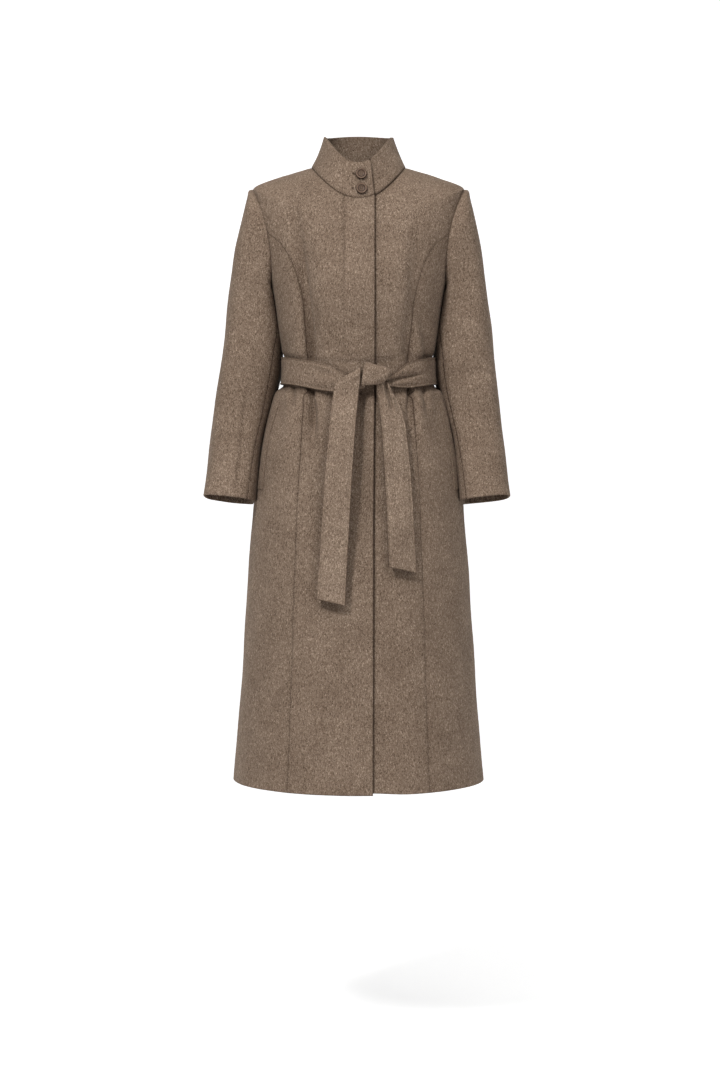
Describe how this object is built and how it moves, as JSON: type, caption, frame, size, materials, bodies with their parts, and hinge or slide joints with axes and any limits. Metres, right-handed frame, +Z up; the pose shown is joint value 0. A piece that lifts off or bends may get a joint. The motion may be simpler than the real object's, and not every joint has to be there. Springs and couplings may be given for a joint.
{
  "type": "coat",
  "caption": "Long belted coat of felted wool with a buttoned stand collar, concealed front, princess seams and set-in sleeves, hollow and hanging as worn.",
  "frame": {"origin": "on the neck's centre line, level with the neck ends of the shoulder seams, where the wearer's shoulders carry the coat", "axes": "+Z up along the hanging coat, +X to the wearer's left, -Y to the front"},
  "size_m": [0.5356, 0.3858, 1.1395],
  "materials": {
    "wool_cloth": "felted taupe-brown melange wool, matt",
    "button_horn": "turned dark brown horn-like plastic, satin"
  },
  "bodies": {
    "root": {"right_front": "wool_cloth", "left_front": "wool_cloth", "right_side_front": "wool_cloth", "left_side_front": "wool_cloth", "right_back": "wool_cloth", "left_back": "wool_cloth", "right_top_sleeve": "wool_cloth", "right_under_sleeve": "wool_cloth", "left_top_sleeve": "wool_cloth", "left_under_sleeve": "wool_cloth", "stand_collar": "wool_cloth", "belt_band": "wool_cloth", "belt_knot": "wool_cloth", "belt_tail_right": "wool_cloth", "belt_tail_left": "wool_cloth", "right_pocket_welt": "wool_cloth", "left_pocket_welt": "wool_cloth", "collar_button_upper": "button_horn", "collar_button_lower": "button_horn"}
  },
  "joints": []
}
